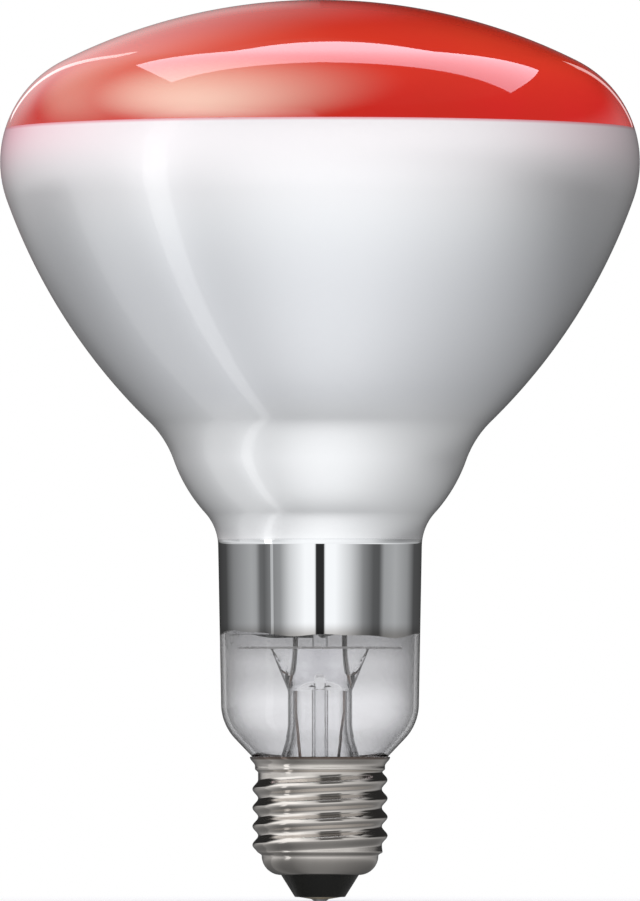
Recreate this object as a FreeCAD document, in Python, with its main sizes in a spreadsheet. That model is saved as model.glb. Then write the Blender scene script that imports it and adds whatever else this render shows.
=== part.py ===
import FreeCAD, Part
import math
import os
import Sketcher

# Reflector heat lamp with a screw cap, standing on its centre contact.
# Z runs up the axis from the contact to the domed face, and the front is -Y.

doc = FreeCAD.newDocument("HeatLamp")

SIZES = [
    ("overall_length", 176.0),
    ("bulb_diameter", 125.0),
    ("glass_wall", 1.0),
    ("face_radius", 112.0),
    ("shoulder_radius", 22.0),
    ("body_radius", 114.0),
    ("waist_diameter", 59.4),
    ("waist_height", 90.2),
    ("waist_fillet", 20.0),
    ("belly_radius", 30.5),
    ("neck_fillet", 9.8),
    ("neck_diameter", 39.8),
    ("neck_height", 69.4),
    ("heel_diameter", 38.5),
    ("heel_height", 34.5),
    ("heel_radius", 10.0),
    ("tail_fillet", 2.5),
    ("seal_height", 20.0),
    ("coat_clearance", 0.1),
    ("coat_thickness", 0.1),
    ("red_depth", 25.2),
    ("mirror_end_height", 52.0),
    ("cap_height", 28.2),
    ("rim_diameter", 27.4),
    ("rim_flare", 1.8),
    ("collar_diameter", 25.4),
    ("collar_foot", 25.4),
    ("shell_sheet", 0.3),
    ("mouth_clearance", 0.15),
    ("thread_major", 26.4),
    ("thread_minor", 24.2),
    ("thread_pitch", 3.629),
    ("thread_start", 11.0),
    ("thread_rise", 13.6),
    ("nose_diameter", 22.8),
    ("nose_radius", 3.8),
    ("shell_foot", 5.1),
    ("shell_hole", 13.4),
    ("insulator_diameter", 15.2),
    ("insulator_tip", 9.8),
    ("insulator_foot", 0.8),
    ("insulator_top", 9.3),
    ("plate_diameter", 8.4),
    ("plate_thickness", 0.6),
    ("eyelet_diameter", 2.6),
    ("eyelet_wall", 0.5),
    ("eyelet_height", 2.4),
    ("solder_diameter", 3.4),
    ("solder_flat", 2.4),
    ("solder_height", 0.4),
    ("cement_gap", 0.9),
    ("cement_drop", 0.6),
    ("cement_height", 3.8),
    ("cement_slot", 12.0),
    ("stem_diameter", 12.6),
    ("stem_wall", 1.0),
    ("flare_height", 33.0),
    ("flare_bend", 12.0),
    ("seal_land", 1.2),
    ("press_foot", 41.0),
    ("press_height", 8.2),
    ("press_width", 19.2),
    ("press_thickness", 4.0),
    ("port_diameter", 2.2),
    ("port_rise", 1.5),
    ("exhaust_diameter", 3.2),
    ("exhaust_wall", 0.5),
    ("exhaust_tip", 15.5),
    ("lead_spacing", 9.6),
    ("inner_lead_diameter", 1.0),
    ("outer_lead_diameter", 0.6),
    ("lead_weld", 3.0),
    ("lead_bend", 1.5),
    ("lead_turn_height", 37.0),
    ("lead_foot_height", 18.0),
    ("lead_foot_offset", 2.8),
    ("lead_join_height", 10.8),
    ("side_lead_reach", 6.2),
    ("side_lead_top", 25.0),
    ("shield_diameter", 32.0),
    ("shield_thickness", 0.4),
    ("arbor_diameter", 3.0),
    ("button_diameter", 4.8),
    ("button_height", 3.2),
    ("button_level", 70.0),
    ("support_diameter", 0.4),
    ("support_bend", 1.0),
    ("support_reach", 3.0),
    ("support_rise", 5.0),
    ("support_step", 54.0),
    ("ring_radius", 13.0),
    ("ring_height", 82.0),
    ("coil_diameter", 1.2),
    ("lead_splay_height", 60.0),
    ("lead_rise", 6.0),
]

sheet = doc.addObject("Spreadsheet::Sheet", "Sizes")
for row, (alias, number) in enumerate(SIZES, start=1):
    sheet.set(f"A{row}", alias)
    sheet.set(f"B{row}", str(number))
    sheet.setAlias(f"B{row}", alias)
doc.recompute()


class Size:
    """A size with its number and the formula that binds it to the sheet."""

    def __init__(self, value, text):
        self.value = value
        self.text = text

    def __add__(self, other):
        other = as_size(other)
        return Size(self.value + other.value, f"({self.text} + {other.text})")

    def __sub__(self, other):
        other = as_size(other)
        return Size(self.value - other.value, f"({self.text} - {other.text})")

    def __mul__(self, other):
        other = as_size(other)
        return Size(self.value * other.value, f"({self.text} * {other.text})")

    def __truediv__(self, other):
        other = as_size(other)
        return Size(self.value / other.value, f"({self.text} / {other.text})")

    def __neg__(self):
        return Size(-self.value, f"(-{self.text})")


def as_size(value):
    return value if isinstance(value, Size) else Size(float(value), str(value))


def size(alias):
    return Size(float(sheet.get(alias)), f"Sizes.{alias}")


def root(value):
    return Size(math.sqrt(value.value), f"sqrt({value.text})")


def bind(thing, prop, value):
    thing.setExpression(prop, value.text)


pieces = []


def new_body(label):
    body = doc.addObject("PartDesign::Body", label.title().replace("_", ""))
    body.Label = label
    pieces.append(body)
    return body


def new_sketch(body, name, role="XZ_Plane", lift=None):
    sketch = body.newObject("Sketcher::SketchObject", name)
    plane = next(item for item in body.Origin.OriginFeatures if item.Role == role)
    sketch.AttachmentSupport = [(plane, "")]
    sketch.MapMode = "FlatFace"
    if lift is not None:
        sketch.AttachmentOffset = FreeCAD.Placement(FreeCAD.Vector(0, 0, lift.value), FreeCAD.Rotation())
        bind(sketch, ".AttachmentOffset.Base.z", lift)
    return sketch


class Draft:
    """Collects a sketch's constraints, then adds them and binds their sizes."""

    H_AXIS = -1
    V_AXIS = -2

    def __init__(self, sketch):
        self.sketch = sketch
        self.rules = []

    def line(self, start, end, guide=False):
        shape = Part.LineSegment(FreeCAD.Vector(*start, 0), FreeCAD.Vector(*end, 0))
        return self.sketch.addGeometry(shape, guide)

    def arc(self, centre, radius, start, end, guide=False):
        first = math.atan2(start[1] - centre[1], start[0] - centre[0])
        last = math.atan2(end[1] - centre[1], end[0] - centre[0])
        if last < first:
            last += 2 * math.pi
        circle = Part.Circle(FreeCAD.Vector(*centre, 0), FreeCAD.Vector(0, 0, 1), radius)
        return self.sketch.addGeometry(Part.ArcOfCircle(circle, first, last), guide)

    def point(self, place):
        return self.sketch.addGeometry(Part.Point(FreeCAD.Vector(*place, 0)), True)

    def rule(self, kind, *items, value=None):
        numbers = items if value is None else items + (value.value,)
        self.rules.append((Sketcher.Constraint(kind, *numbers), value))

    def place(self, item, end, across=None, up=None):
        for kind, axis, value in (("DistanceX", self.V_AXIS, across), ("DistanceY", self.H_AXIS, up)):
            if value is None:
                continue
            if value.text == "0":
                self.rule("PointOnObject", item, end, axis)
            elif value.value < 0:
                self.rule(kind, item, end, -1, 1, value=-value)
            else:
                self.rule(kind, -1, 1, item, end, value=value)

    def finish(self):
        first = self.sketch.ConstraintCount
        self.sketch.addConstraint([rule for rule, value in self.rules])
        for index, (rule, value) in enumerate(self.rules):
            if value is not None and "Sizes." in value.text:
                bind(self.sketch, f"Constraints[{first + index}]", value)
        if self.sketch.solve() != 0:
            raise RuntimeError(f"{self.sketch.Name} has no solution")


def unit(start, end):
    span = math.hypot(end[0] - start[0], end[1] - start[1])
    return (end[0] - start[0]) / span, (end[1] - start[1]) / span


def along(start, direction, distance):
    return start[0] + direction[0] * distance, start[1] + direction[1] * distance


def polygon(sketch, corners, rounds=None, closed=True):
    """Draws straight runs through the corners, with a bend at each corner in rounds."""
    rounds = rounds or {}
    draft = Draft(sketch)
    corners = [(as_size(across), as_size(up)) for across, up in corners]
    spots = [(across.value, up.value) for across, up in corners]
    count = len(spots)
    arrive = list(spots)
    leave = list(spots)
    centres = {}
    for index, radius in rounds.items():
        here = spots[index]
        before = unit(here, spots[index - 1])
        after = unit(here, spots[(index + 1) % count])
        half = math.acos(before[0] * after[0] + before[1] * after[1]) / 2
        reach = radius.value / math.tan(half)
        arrive[index] = along(here, before, reach)
        leave[index] = along(here, after, reach)
        middle = unit((0, 0), (before[0] + after[0], before[1] + after[1]))
        centres[index] = along(here, middle, radius.value / math.sin(half))
    runs = count if closed else count - 1
    lines = [draft.line(leave[index], arrive[(index + 1) % count]) for index in range(runs)]
    anchors = []
    for index in range(count):
        enters = lines[index - 1] if closed or index else None
        exits = lines[index] if index < runs else None
        if index in rounds:
            start, end = arrive[index], leave[index]
            centre = centres[index]
            first = (start[0] - centre[0], start[1] - centre[1])
            last = (end[0] - centre[0], end[1] - centre[1])
            turn = first[0] * last[1] - first[1] * last[0]
            ends = (1, 2) if turn > 0 else (2, 1)
            if turn <= 0:
                start, end = end, start
            bend = draft.arc(centre, rounds[index].value, start, end)
            draft.rule("Tangent", enters, 2, bend, ends[0])
            draft.rule("Tangent", bend, ends[1], exits, 1)
            draft.rule("Radius", bend, value=rounds[index])
            corner = draft.point(spots[index])
            draft.rule("PointOnObject", corner, 1, enters)
            draft.rule("PointOnObject", corner, 1, exits)
            anchors.append((corner, 1))
        else:
            if enters is not None and exits is not None:
                draft.rule("Coincident", enters, 2, exits, 1)
            anchors.append((exits, 1) if exits is not None else (enters, 2))
    for index, (across, up) in enumerate(corners):
        same_across = index > 0 and across.text == corners[index - 1][0].text
        same_up = index > 0 and up.text == corners[index - 1][1].text
        if same_across:
            draft.rule("Vertical", lines[index - 1])
        if same_up:
            draft.rule("Horizontal", lines[index - 1])
        draft.place(*anchors[index], None if same_across else across, None if same_up else up)
    draft.finish()
    return sketch


def revolve(body, sketch, angle=360):
    solid = body.newObject("PartDesign::Revolution", "Turned")
    solid.Profile = sketch
    solid.ReferenceAxis = (sketch, ["V_Axis"])
    solid.Angle = angle
    return solid


def turned_body(label, corners, rounds=None):
    body = new_body(label)
    revolve(body, polygon(new_sketch(body, "Section"), corners, rounds))
    return body


# Blown glass envelope: one wall of tangent arcs from the face down to the tail in the cap.
half_bulb = size("bulb_diameter") / 2
wall = size("glass_wall")
tail_radius = size("thread_minor") / 2 - size("shell_sheet") - size("cement_gap")
mouth_radius = size("rim_diameter") / 2 - size("shell_sheet") - size("mouth_clearance")


def meeting(first, first_radius, second, second_radius, side):
    """The point at the two given distances from two centres, on the left (1) or right (-1)."""
    span = math.hypot(second[0] - first[0], second[1] - first[1])
    part = (first_radius ** 2 - second_radius ** 2 + span ** 2) / (2 * span)
    off = math.sqrt(first_radius ** 2 - part ** 2)
    ahead = unit(first, second)
    return (first[0] + ahead[0] * part - side * off * ahead[1],
            first[1] + ahead[1] * part + side * off * ahead[0])


def bend_centre(corner, before, after, radius):
    back = unit(corner, before)
    on = unit(corner, after)
    half = math.acos(back[0] * on[0] + back[1] * on[1]) / 2
    middle = unit((0, 0), (back[0] + on[0], back[1] + on[1]))
    return along(corner, middle, radius / math.sin(half))


def envelope_arcs():
    """Name, centre, radius and side of each arc from the face to the tail; side -1 is hollow outside."""
    number = {alias: size(alias).value for alias, start in SIZES}
    face = (0, number["overall_length"] - number["face_radius"])
    across = half_bulb.value - number["shoulder_radius"]
    reach = number["face_radius"] - number["shoulder_radius"]
    shoulder = (across, face[1] + math.sqrt(reach ** 2 - across ** 2))
    waist = (number["waist_diameter"] / 2, number["waist_height"])
    reach = number["body_radius"] - number["shoulder_radius"]
    trunk = meeting(shoulder, reach, waist, number["body_radius"], -1)
    neck_top = (number["neck_diameter"] / 2, number["neck_height"])
    heel_corner = (number["heel_diameter"] / 2, number["heel_height"])
    down = unit(neck_top, heel_corner)
    neck = along(neck_top, (-down[1], down[0]), number["neck_fillet"])
    reach = number["neck_fillet"] + number["belly_radius"]
    belly = meeting(neck, reach, waist, number["belly_radius"], 1)
    fillet = number["waist_fillet"]
    hollow = meeting(trunk, number["body_radius"] + fillet, belly, number["belly_radius"] + fillet, 1)
    slope = unit(heel_corner, (mouth_radius.value, number["cap_height"]))
    tail_corner = along(heel_corner, slope, (tail_radius.value - heel_corner[0]) / slope[0])
    tail_end = (tail_radius.value, number["seal_height"])
    heel = bend_centre(heel_corner, neck_top, tail_corner, number["heel_radius"])
    tail = bend_centre(tail_corner, heel_corner, tail_end, number["tail_fillet"])
    return [
        ("face", face, size("face_radius"), 1),
        ("shoulder", shoulder, size("shoulder_radius"), 1),
        ("trunk", trunk, size("body_radius"), 1),
        ("waist", hollow, size("waist_fillet"), -1),
        ("belly", belly, size("belly_radius"), 1),
        ("neck", neck, size("neck_fillet"), -1),
        ("heel", heel, size("heel_radius"), 1),
        ("tail", tail, size("tail_fillet"), -1),
    ]


def joint(first, second, bent):
    """Where two arcs touch, or the two ends of the straight run between them."""
    (here, here_radius, here_side), (there, there_radius, there_side) = first, second
    ahead = unit(here, there)
    if bent:
        lean = (here_side * here_radius - there_side * there_radius) / math.dist(here, there)
        side = math.sqrt(1 - lean ** 2)
        normal = (ahead[0] * lean - ahead[1] * side, ahead[1] * lean + ahead[0] * side)
        return [along(here, normal, here_side * here_radius), along(there, normal, there_side * there_radius)]
    if here_side != there_side or here_radius > there_radius:
        return [along(here, ahead, here_radius)]
    return [along(there, unit(there, here), there_radius)]


def wall_line(draft, depth, guide):
    """Draws the envelope line at a depth under the outer skin; returns its arcs and runs by name."""
    arcs = envelope_arcs()
    spans = [(centre, radius.value - side * depth.value, side) for name, centre, radius, side in arcs]
    names = [name for name, centre, radius, side in arcs]
    runs_after = ("neck", "heel")
    spots = [(0, spans[0][0][1] + spans[0][1])]
    for name, first, second in zip(names, spans, spans[1:]):
        spots.extend(joint(first, second, name in runs_after))
    tail_centre, tail_bend, tail_side = spans[-1]
    spots.append((tail_centre[0] - tail_bend, tail_centre[1]))
    curves = {}
    runs = {}
    last = None
    for name, (centre, radius, side) in zip(names, spans):
        top = spots.pop(0)
        foot = spots[0]
        start, end = (foot, top) if side > 0 else (top, foot)
        curves[name] = draft.arc(centre, radius, start, end, guide)
        upper, lower = (2, 1) if side > 0 else (1, 2)
        if last is not None:
            draft.rule("Tangent", *last, curves[name], upper)
        last = (curves[name], lower)
        if name in runs_after:
            start = spots.pop(0)
            runs[name] = draft.line(start, spots[0], guide)
            draft.rule("Tangent", *last, runs[name], 1)
            last = (runs[name], 2)
    runs["tail"] = draft.line(spots[0], (spots[0][0], size("seal_height").value), guide)
    draft.rule("Tangent", *last, runs["tail"], 1)
    draft.rule("Vertical", runs["tail"])
    draft.rule("PointOnObject", curves["face"], 2, Draft.V_AXIS)
    return curves, runs


def envelope(label, near, far):
    """A wall between two depths under the envelope's outer skin."""
    body = new_body(label)
    sketch = new_sketch(body, "Wall")
    draft = Draft(sketch)
    skin = near.text == "0"
    curves, runs = wall_line(draft, as_size(0), not skin)
    for name, centre, radius, side in envelope_arcs():
        draft.rule("Radius", curves[name], value=radius)
    draft.rule("PointOnObject", curves["face"], 3, Draft.V_AXIS)
    draft.place(curves["face"], 2, up=size("overall_length"))
    draft.place(curves["shoulder"], 3, across=half_bulb - size("shoulder_radius"))
    guides = [
        (size("waist_diameter") / 2, size("waist_height"), (curves["trunk"], curves["belly"])),
        (size("heel_diameter") / 2, size("heel_height"), (runs["neck"], runs["heel"])),
        (mouth_radius, size("cap_height"), (runs["heel"],)),
    ]
    for across, up, passing in guides:
        spot = draft.point((across.value, up.value))
        draft.place(spot, 1, across, up)
        for line in passing:
            draft.rule("PointOnObject", spot, 1, line)
    draft.place(runs["neck"], 1, size("neck_diameter") / 2, size("neck_height"))
    draft.place(runs["tail"], 2, tail_radius, size("seal_height"))
    sides = [(curves, runs)]
    for depth in ([far] if skin else [near, far]):
        inner, straight = wall_line(draft, depth, False)
        for name in curves:
            draft.rule("Coincident", curves[name], 3, inner[name], 3)
        draft.rule("Radius", inner["face"], value=size("face_radius") - depth)
        draft.rule("Parallel", runs["neck"], straight["neck"])
        draft.rule("Parallel", runs["heel"], straight["heel"])
        draft.place(straight["tail"], 2, up=size("seal_height"))
        sides.append((inner, straight))
    for part, name in ((0, "face"), (1, "tail")):
        ends = [side[part][name] for side in sides[-2:]]
        spots = [sketch.getPoint(end, 2) for end in ends]
        close = draft.line(*[(spot.x, spot.y) for spot in spots])
        draft.rule("Coincident", ends[0], 2, close, 1)
        draft.rule("Coincident", ends[1], 2, close, 2)
    draft.finish()
    revolve(body, sketch)
    return body


def trim(body, name, foot, top):
    """Turns away everything between two heights."""
    outside = half_bulb * 2
    sketch = polygon(new_sketch(body, name), [(0, foot), (outside, foot), (outside, top), (0, top)])
    cut = body.newObject("PartDesign::Groove", name + "Cut")
    cut.Profile = sketch
    cut.ReferenceAxis = (sketch, ["V_Axis"])
    cut.Angle = 360


red_edge = size("overall_length") - size("red_depth")
coat_skin = wall + size("coat_clearance")
coat_depth = coat_skin + size("coat_thickness")
beyond = size("overall_length") * 2
envelope("glass_bulb", as_size(0), wall)

# Red layer inside the face, from the middle of the shoulder up.
red_coat = envelope("red_filter_coat", coat_skin, coat_depth)
trim(red_coat, "BelowRed", as_size(0), red_edge)

# Aluminium layer inside the reflector, from the red edge down to the clear part of the neck.
mirror = envelope("mirror_coat", coat_skin, coat_depth)
trim(mirror, "AboveMirror", red_edge, beyond)
trim(mirror, "BelowMirror", as_size(0), size("mirror_end_height"))

# Screw shell: drawn sheet with a rolled knuckle thread, a plain collar and a flared rim.
sheet_gauge = size("shell_sheet")
shell_root = size("thread_minor") / 2
shell_bore = shell_root - sheet_gauge
collar_radius = size("collar_diameter") / 2
rim_radius = size("rim_diameter") / 2
flare_foot = size("cap_height") - size("rim_flare")
nose = size("nose_diameter") / 2
nose_top = size("shell_foot") + size("nose_radius")
nose_lip = size("shell_foot") + sheet_gauge
hole_radius = size("shell_hole") / 2

shell = new_body("screw_shell")
shell_corners = [
    (hole_radius, size("shell_foot")),
    (nose, size("shell_foot")),
    (nose, nose_top + sheet_gauge),
    (shell_root, nose_top + sheet_gauge * 2),
    (shell_root, size("collar_foot") - sheet_gauge),
    (collar_radius, size("collar_foot") + sheet_gauge),
    (collar_radius, flare_foot),
    (rim_radius, size("cap_height")),
    (rim_radius - sheet_gauge, size("cap_height")),
    (collar_radius - sheet_gauge, flare_foot),
    (collar_radius - sheet_gauge, size("collar_foot") + sheet_gauge),
    (shell_bore, size("collar_foot") - sheet_gauge),
    (shell_bore, nose_top + sheet_gauge * 2),
    (nose - sheet_gauge, nose_top + sheet_gauge),
    (nose - sheet_gauge, nose_lip),
    (hole_radius, nose_lip),
]
shell_rounds = {1: size("nose_radius"), 14: size("nose_radius") - sheet_gauge}
revolve(shell, polygon(new_sketch(shell, "Section"), shell_corners, shell_rounds))

# Thread form: equal crest and root arcs, cut off a little above the root so that turns stay apart.
pitch = size("thread_pitch")
depth = size("thread_major") / 2 - shell_root
knuckle = (pitch * pitch / 4 + depth * depth) / (depth * 4)
root_lift = depth / 30
crest_level = size("thread_start")
ridge_foot = shell_root - sheet_gauge / 3
ridge_edge = shell_root + root_lift
half_ridge = pitch / 2 - root(root_lift * (knuckle * 2 - root_lift))

ridge = new_sketch(shell, "Ridge")
draft = Draft(ridge)
crest_centre = (size("thread_major").value / 2 - knuckle.value, crest_level.value)
flank = shell_root.value + depth.value / 2
flank_centre = shell_root + knuckle
spots = {}
for sign in (-1, 1):
    spots[sign] = {
        "edge": (ridge_edge.value, crest_level.value + sign * half_ridge.value),
        "bend": (flank, crest_level.value + sign * pitch.value / 4),
        "foot": (ridge_foot.value, crest_level.value + sign * half_ridge.value),
        "centre": (flank_centre.value, crest_level.value + sign * pitch.value / 2),
    }
crest = draft.arc(crest_centre, knuckle.value, spots[-1]["bend"], spots[1]["bend"])
lower = draft.arc(spots[-1]["centre"], knuckle.value, spots[-1]["bend"], spots[-1]["edge"])
upper = draft.arc(spots[1]["centre"], knuckle.value, spots[1]["edge"], spots[1]["bend"])
step_down = draft.line(spots[-1]["edge"], spots[-1]["foot"])
back = draft.line(spots[-1]["foot"], spots[1]["foot"])
step_up = draft.line(spots[1]["foot"], spots[1]["edge"])
draft.rule("Tangent", lower, 1, crest, 1)
draft.rule("Tangent", upper, 2, crest, 2)
draft.rule("Coincident", lower, 2, step_down, 1)
draft.rule("Coincident", step_down, 2, back, 1)
draft.rule("Coincident", back, 2, step_up, 1)
draft.rule("Coincident", step_up, 2, upper, 1)
draft.rule("Radius", crest, value=knuckle)
draft.rule("Equal", crest, lower)
draft.rule("Equal", crest, upper)
draft.place(crest, 3, size("thread_major") / 2 - knuckle, crest_level)
draft.place(lower, 3, across=flank_centre)
draft.place(upper, 3, across=flank_centre)
draft.place(lower, 2, across=ridge_edge)
draft.place(upper, 1, across=ridge_edge)
draft.rule("Horizontal", step_down)
draft.rule("Horizontal", step_up)
draft.rule("Vertical", back)
draft.place(back, 1, across=ridge_foot)
draft.finish()

thread = shell.newObject("PartDesign::AdditiveHelix", "Thread")
thread.Profile = ridge
thread.ReferenceAxis = (ridge, ["V_Axis"])
thread.Mode = 0
thread.Pitch = pitch.value
thread.Height = size("thread_rise").value
bind(thread, "Pitch", pitch)
bind(thread, "Height", size("thread_rise"))
shell.Placement.Rotation = FreeCAD.Rotation(FreeCAD.Vector(0, 0, 1), 180)

# Black glass insulator, cast into the foot of the shell and around the edge of its hole.
plate_radius = size("plate_diameter") / 2
plate_top = size("insulator_foot") + size("plate_thickness")
eyelet_radius = size("eyelet_diameter") / 2
turned_body("cap_insulator", [
    (eyelet_radius, plate_top),
    (plate_radius, plate_top),
    (plate_radius, size("insulator_foot")),
    (size("insulator_tip") / 2, size("insulator_foot")),
    (size("insulator_diameter") / 2, size("shell_foot")),
    (hole_radius, size("shell_foot")),
    (hole_radius, nose_lip),
    (nose - sheet_gauge, nose_lip),
    (nose - sheet_gauge, size("insulator_top")),
    (eyelet_radius, size("insulator_top")),
], {3: sheet_gauge, 7: size("nose_radius") - sheet_gauge})

# Centre contact: a pressed brass plate with an eyelet that grips the insulator.
eyelet_bore = eyelet_radius - size("eyelet_wall")
solder_radius = size("solder_diameter") / 2
solder_level = size("solder_height")
turned_body("contact_plate", [
    (eyelet_bore, solder_level),
    (solder_radius, solder_level),
    (plate_radius, size("insulator_foot")),
    (plate_radius, plate_top),
    (eyelet_radius, plate_top),
    (eyelet_radius, plate_top + size("eyelet_height")),
    (eyelet_bore, plate_top + size("eyelet_height")),
])

# Solder that closes the eyelet over the end of the centre lead; its flat is the lamp's lowest point.
solder_top = solder_level + size("plate_thickness")
turned_body("contact_solder", [
    (0, 0),
    (size("solder_flat") / 2, 0),
    (solder_radius, solder_level),
    (eyelet_bore, solder_level),
    (eyelet_bore, solder_top),
    (0, solder_top),
])

# Capping cement between the glass tail and the shell, open at the back where the side lead rises.
cement = new_body("capping_cement")
cement_foot = size("seal_height") + size("cement_drop")
cement_top = cement_foot + size("cement_height")
cement_ring = revolve(cement, polygon(new_sketch(cement, "Section"), [
    (tail_radius, cement_foot),
    (shell_bore, cement_foot),
    (shell_bore, cement_top),
    (tail_radius, cement_top),
]))
bind(cement_ring, "Angle", as_size(360) - size("cement_slot"))
cement.Placement.Rotation = FreeCAD.Rotation(FreeCAD.Vector(0, 0, 1), 90 + size("cement_slot").value / 2)
bind(cement, ".Placement.Rotation.Angle", as_size(90) + size("cement_slot") / 2)

# Stem: a flared tube sealed into the tail, its top pinched flat around the leads.
stem_radius = size("stem_diameter") / 2
stem_bore = stem_radius - size("stem_wall")
land_radius = tail_radius - wall
land_top = size("seal_height") + size("seal_land")
press_foot = size("press_foot")
press_top = press_foot + size("press_height")
lead_across = size("lead_spacing") / 2

tube_section = doc.addObject("Sketcher::SketchObject", "StemSection")
tube_section.Placement = FreeCAD.Placement(FreeCAD.Vector(), FreeCAD.Rotation(FreeCAD.Vector(1, 0, 0), 90))
polygon(tube_section, [
    (stem_radius, press_foot),
    (stem_radius, size("flare_height")),
    (land_radius, land_top),
    (land_radius, size("seal_height")),
    (land_radius - size("stem_wall"), size("seal_height")),
    (land_radius - size("stem_wall"), land_top),
    (stem_bore, size("flare_height")),
    (stem_bore, press_foot),
], {1: size("flare_bend"), 6: size("flare_bend")})
tube = doc.addObject("Part::Revolution", "StemTube")
tube.Source = tube_section
tube.Axis = FreeCAD.Vector(0, 0, 1)
tube.Solid = True

press_round = doc.addObject("Part::Circle", "PressFoot")
bind(press_round, "Radius", stem_radius)
bind(press_round, ".Placement.Base.z", press_foot)
press_flat = doc.addObject("Part::Ellipse", "PressTop")
bind(press_flat, "MajorRadius", size("press_width") / 2)
bind(press_flat, "MinorRadius", size("press_thickness") / 2)
bind(press_flat, ".Placement.Base.z", press_top)
press = doc.addObject("Part::Loft", "Press")
press.Sections = [press_round, press_flat]
press.Solid = True
press.Ruled = True


def rod(name, radius, foot, height, across=None):
    cylinder = doc.addObject("Part::Cylinder", name)
    bind(cylinder, "Radius", radius)
    bind(cylinder, "Height", height)
    bind(cylinder, ".Placement.Base.z", foot)
    if across is not None:
        bind(cylinder, ".Placement.Base.x", across)
    return cylinder


outer_lead = size("outer_lead_diameter") / 2
inner_lead = size("inner_lead_diameter") / 2
weld_level = press_foot + size("lead_weld")
exhaust_bore = size("exhaust_diameter") / 2 - size("exhaust_wall")
port_level = press_foot + size("port_rise")
holes = [rod("ExhaustBore", exhaust_bore, press_foot, size("port_rise"))]
for side, across in (("Left", -lead_across), ("Right", lead_across)):
    holes.append(rod(f"OuterLeadHole{side}", outer_lead, press_foot, size("lead_weld"), across))
    holes.append(rod(f"InnerLeadHole{side}", inner_lead, weld_level, press_top - weld_level, across))
port = rod("ExhaustPort", size("port_diameter") / 2, port_level, stem_radius * 2)
port.Placement.Rotation = FreeCAD.Rotation(FreeCAD.Vector(1, 0, 0), 90)
holes.append(port)
stem_blank = doc.addObject("Part::MultiFuse", "StemBlank")
stem_blank.Shapes = [tube, press]
stem_holes = doc.addObject("Part::MultiFuse", "StemHoles")
stem_holes.Shapes = holes
stem = doc.addObject("Part::Cut", "Stem")
stem.Label = "stem"
stem.Base = stem_blank
stem.Tool = stem_holes
pieces.append(stem)

# Exhaust tube under the pinch, drawn off to a closed tip.
exhaust_radius = size("exhaust_diameter") / 2
tip_top = size("exhaust_tip") + exhaust_radius * 2
turned_body("exhaust_tube", [
    (exhaust_bore, press_foot),
    (exhaust_radius, press_foot),
    (exhaust_radius, tip_top),
    (size("exhaust_wall"), size("exhaust_tip")),
    (0, size("exhaust_tip")),
    (0, tip_top),
    (exhaust_bore, tip_top + exhaust_bore),
], {2: exhaust_radius})


def bent_wire(label, corners, bend, radius, upright=True):
    """A round wire swept along straight runs and bends in the body's own XZ plane."""
    body = new_body(label)
    path = new_sketch(body, "Path")
    polygon(path, corners, {index: bend for index in range(1, len(corners) - 1)}, closed=False)
    start = corners[0][1] if upright else corners[0][0]
    section = new_sketch(body, "Section", "XY_Plane" if upright else "YZ_Plane", start)
    draft = Draft(section)
    centre = (0, 0) if upright else (0, corners[0][1].value)
    circle = Part.Circle(FreeCAD.Vector(*centre, 0), FreeCAD.Vector(0, 0, 1), radius.value)
    ring = section.addGeometry(circle)
    draft.rule("Radius", ring, value=radius)
    draft.place(ring, 3, corners[0][0] if upright else as_size(0), as_size(0) if upright else corners[0][1])
    draft.finish()
    doc.recompute()
    sweep = body.newObject("PartDesign::AdditivePipe", "Wire")
    sweep.Profile = section
    sweep.Spine = (path, [f"Edge{index}" for index in range(1, len(path.Shape.Edges) + 1)])
    return body


def stand(body, across, turn):
    """Moves a wire's plane along X and turns it about the upright through there."""
    body.Placement.Rotation = FreeCAD.Rotation(FreeCAD.Vector(0, 0, 1), turn.value)
    bind(body, ".Placement.Rotation.Angle", turn)
    bind(body, ".Placement.Base.x", across)


# Outer leads: thin copper, one to the centre contact and one up inside the collar at the back.
turn_level = size("lead_turn_height")
foot_level = size("lead_foot_height")
bend = size("lead_bend")
bent_wire("outer_lead_centre", [
    (-lead_across, weld_level),
    (-lead_across, turn_level),
    (-size("lead_foot_offset"), foot_level),
    (as_size(0), size("lead_join_height")),
    (as_size(0), solder_top),
], bend, outer_lead)

side_radius = shell_bore - outer_lead
side_span = root(side_radius * side_radius + lead_across * lead_across)
side_turn = Size(90 + math.degrees(math.atan2(lead_across.value, side_radius.value)),
                 f"90 deg + atan({lead_across.text} / {side_radius.text})")
side_lead = bent_wire("outer_lead_side", [
    (as_size(0), weld_level),
    (as_size(0), turn_level),
    (size("side_lead_reach"), foot_level),
    (side_span, foot_level),
    (side_span, size("side_lead_top")),
], bend, outer_lead)
stand(side_lead, lead_across, side_turn)

# Inner leads: stiff nickel wire from the pinch through the shield, splayed forward to the filament's ends.
coil_radius = size("coil_diameter") / 2
coil_foot = size("ring_height") - coil_radius
splay = root(size("ring_radius") * size("ring_radius") - lead_across * lead_across)
for label, across in (("inner_lead_left", -lead_across), ("inner_lead_right", lead_across)):
    lead = bent_wire(label, [
        (as_size(0), weld_level),
        (as_size(0), size("lead_splay_height")),
        (splay, coil_foot - size("lead_rise")),
        (splay, coil_foot),
    ], bend, inner_lead)
    stand(lead, across, as_size(-90))

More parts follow.
